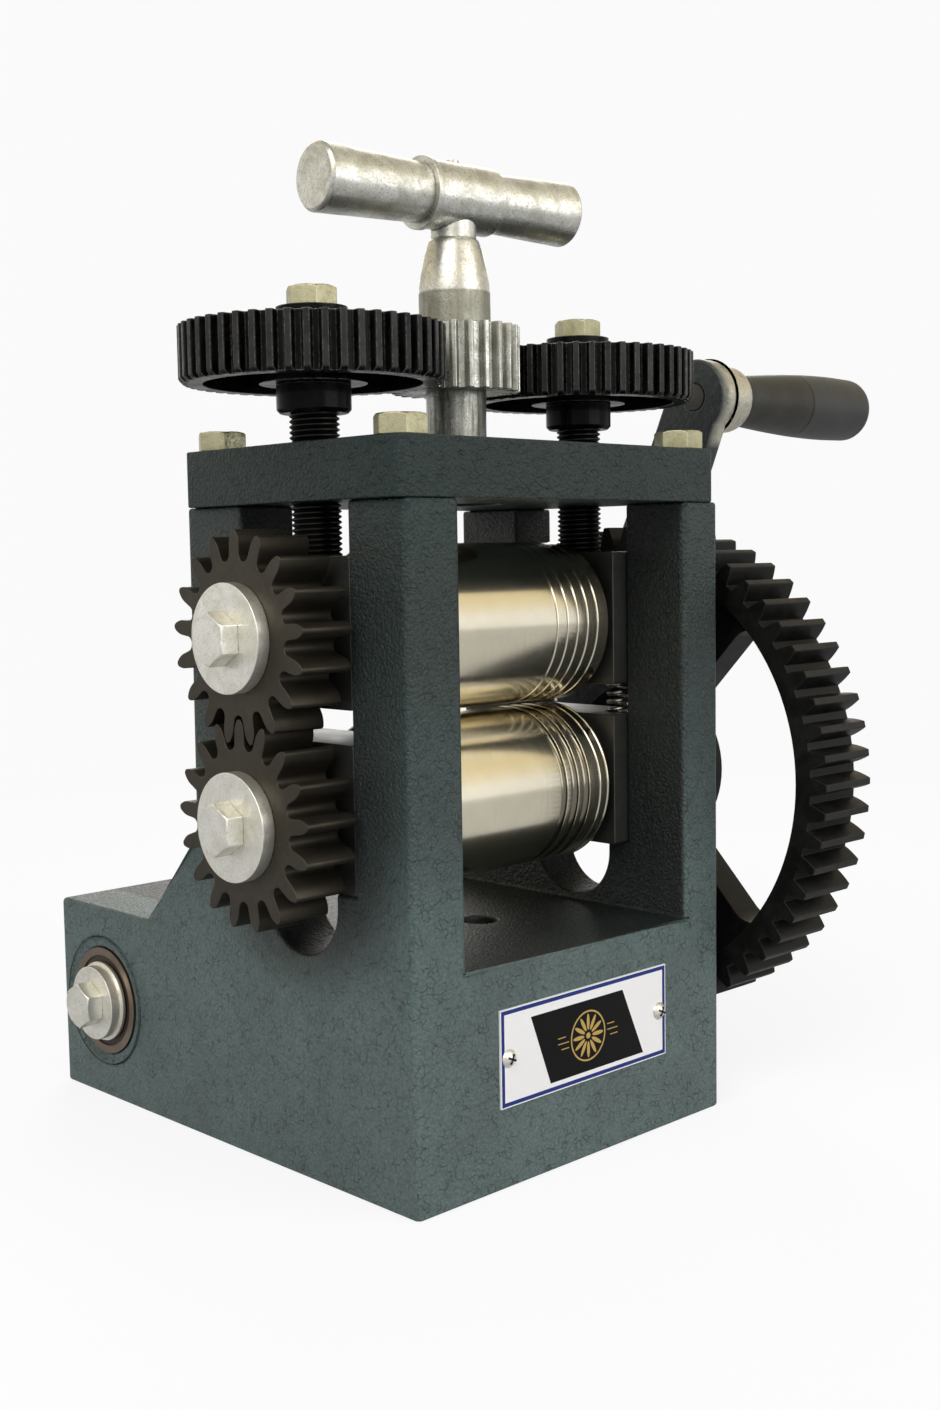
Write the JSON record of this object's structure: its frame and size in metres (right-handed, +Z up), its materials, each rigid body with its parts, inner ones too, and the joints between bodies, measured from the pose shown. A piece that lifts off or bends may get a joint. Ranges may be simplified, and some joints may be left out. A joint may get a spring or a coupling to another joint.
{
  "type": "jewellers rolling mill",
  "caption": "Hand-cranked bench mill: two steel rolls in a cast frame, a T handle over twin screws sets the gap, and a crank drives them through spur gears.",
  "frame": {"origin": "on the axis of the vertical bench bolt hole, at the underside of the base, in the plane of the two roll axes", "axes": "+X along the rolls from the gear side to the crank side, +Y to the rear, +Z up"},
  "size_m": [0.3023, 0.2121, 0.2923],
  "materials": {
    "frame_paint": "grey-green hammertone enamel on cast iron",
    "plate_paint": "dark teal hammertone enamel on a steel plate",
    "arm_paint": "blue-grey enamel on a forged arm",
    "black_gear": "gloss black enamel with bare tooth edges",
    "black_oxide": "oiled black oxide on turned steel",
    "gear_steel": "dark oiled steel",
    "chock_steel": "milled steel, slightly oiled",
    "roll_steel": "hardened rolls ground round the axis",
    "ground_steel": "turned and ground steel",
    "yellow_zinc": "yellow zinc plating on steel",
    "cast_zinc": "dull zinc-plated steel with casting marks",
    "bronze": "turned bronze bush",
    "brown_shield": "greasy pressed shield",
    "name_sheet": "printed aluminium sheet",
    "grip_lacquer": "dark lacquered turned grip"
  },
  "bodies": {
    "root": {"frame_casting": "frame_paint", "top_plate": "plate_paint", "top_plate_bolts": "yellow_zinc", "nameplate": "name_sheet", "nameplate_screws": "yellow_zinc", "lower_chock_left": "chock_steel", "lower_chock_right": "chock_steel", "lower_roll_bushes": "bronze", "lift_springs": "ground_steel", "idler_stud": "ground_steel", "idler_ring": "gear_steel", "bearing_outer_rings": "ground_steel", "bearing_balls": "ground_steel", "bearing_shields": "brown_shield"},
    "upper_chocks": {"upper_chock_left": "chock_steel", "upper_chock_right": "chock_steel", "upper_roll_bushes": "bronze"},
    "lower_roll": {"lower_roll": "roll_steel", "lower_roll_gear": "gear_steel", "lower_roll_gear_key": "ground_steel", "lower_gear_washer": "yellow_zinc", "lower_gear_bolt": "yellow_zinc", "bull_gear": "black_gear", "bull_gear_key": "ground_steel", "bull_gear_washer": "yellow_zinc", "bull_gear_bolt": "yellow_zinc"},
    "upper_roll": {"upper_roll": "roll_steel", "upper_roll_gear": "gear_steel", "upper_roll_gear_key": "ground_steel", "upper_gear_washer": "yellow_zinc", "upper_gear_bolt": "yellow_zinc"},
    "left_screw": {"left_screw": "black_oxide", "left_screw_gear": "black_gear", "left_screw_collar": "black_gear", "left_screw_bolt": "yellow_zinc"},
    "right_screw": {"right_screw": "black_oxide", "right_screw_gear": "black_gear", "right_screw_collar": "black_gear", "right_screw_bolt": "yellow_zinc"},
    "t_handle": {"t_shaft": "cast_zinc", "t_pinion": "cast_zinc", "t_sleeve": "cast_zinc", "t_bar": "cast_zinc", "t_bar_pin": "ground_steel", "t_retainer_washer": "gear_steel", "t_retainer_screw": "yellow_zinc"},
    "crank": {"crank_shaft": "ground_steel", "crank_pinion": "gear_steel", "crank_key": "ground_steel", "crank_arm": "arm_paint", "crank_arm_washer": "yellow_zinc", "crank_arm_bolt": "yellow_zinc", "crank_end_washer": "yellow_zinc", "crank_end_bolt": "yellow_zinc", "grip_spindle": "ground_steel", "bearing_inner_rings": "ground_steel"},
    "idler": {"idler_gear": "gear_steel", "idler_bush": "bronze"},
    "grip": {"handle_grip": "grip_lacquer"}
  },
  "joints": [
    {"name": "crank_turn", "type": "hinge", "parent": "root", "child": "crank", "pos_m": [0, 0.1059, 0.0321], "axis": [1, 0, 0], "continuous": true},
    {"name": "grip_spin", "type": "hinge", "parent": "crank", "child": "grip", "pos_m": [0.16, -0.00044, 0.22959], "axis": [1, 0, 0], "continuous": true},
    {"name": "idler_turn", "type": "hinge", "parent": "root", "child": "idler", "pos_m": [0.08, 0.06608, 0.03028], "axis": [1, 0, 0], "continuous": true},
    {"name": "lower_roll_turn", "type": "hinge", "parent": "root", "child": "lower_roll", "pos_m": [0, 0, 0.104], "axis": [1, 0, 0], "continuous": true},
    {"name": "t_handle_turn", "type": "hinge", "parent": "root", "child": "t_handle", "pos_m": [-0.0065, 0, 0.2075], "axis": [0, 0, 1], "range_deg": [-1921, 433]},
    {"name": "upper_chock_slide", "type": "slide", "parent": "root", "child": "upper_chocks", "axis": [0, 0, 1], "range_m": [-0.0009, 0.004], "deforming": ["lift_springs"]},
    {"name": "upper_roll_turn", "type": "hinge", "parent": "upper_chocks", "child": "upper_roll", "pos_m": [0, 0, 0.155], "axis": [1, 0, 0], "continuous": true},
    {"name": "left_screw_turn", "type": "hinge", "parent": "upper_chocks", "child": "left_screw", "pos_m": [-0.061, 0, 0.2], "axis": [0, 0, 1], "range_deg": [-217, 961]},
    {"name": "right_screw_turn", "type": "hinge", "parent": "upper_chocks", "child": "right_screw", "pos_m": [0.048, 0, 0.2], "axis": [0, 0, 1], "range_deg": [-217, 961]}
  ],
  "couplings": [
    {"joint": "idler_turn", "follows": "crank_turn", "ratio": -0.93333},
    {"joint": "lower_roll_turn", "follows": "crank_turn", "ratio": 0.24561},
    {"joint": "upper_roll_turn", "follows": "crank_turn", "ratio": -0.24561},
    {"joint": "t_handle_turn", "follows": "upper_chock_slide", "rad_per_m": -8377.6},
    {"joint": "left_screw_turn", "follows": "upper_chock_slide", "rad_per_m": 4188.8},
    {"joint": "right_screw_turn", "follows": "upper_chock_slide", "rad_per_m": 4188.8}
  ]
}
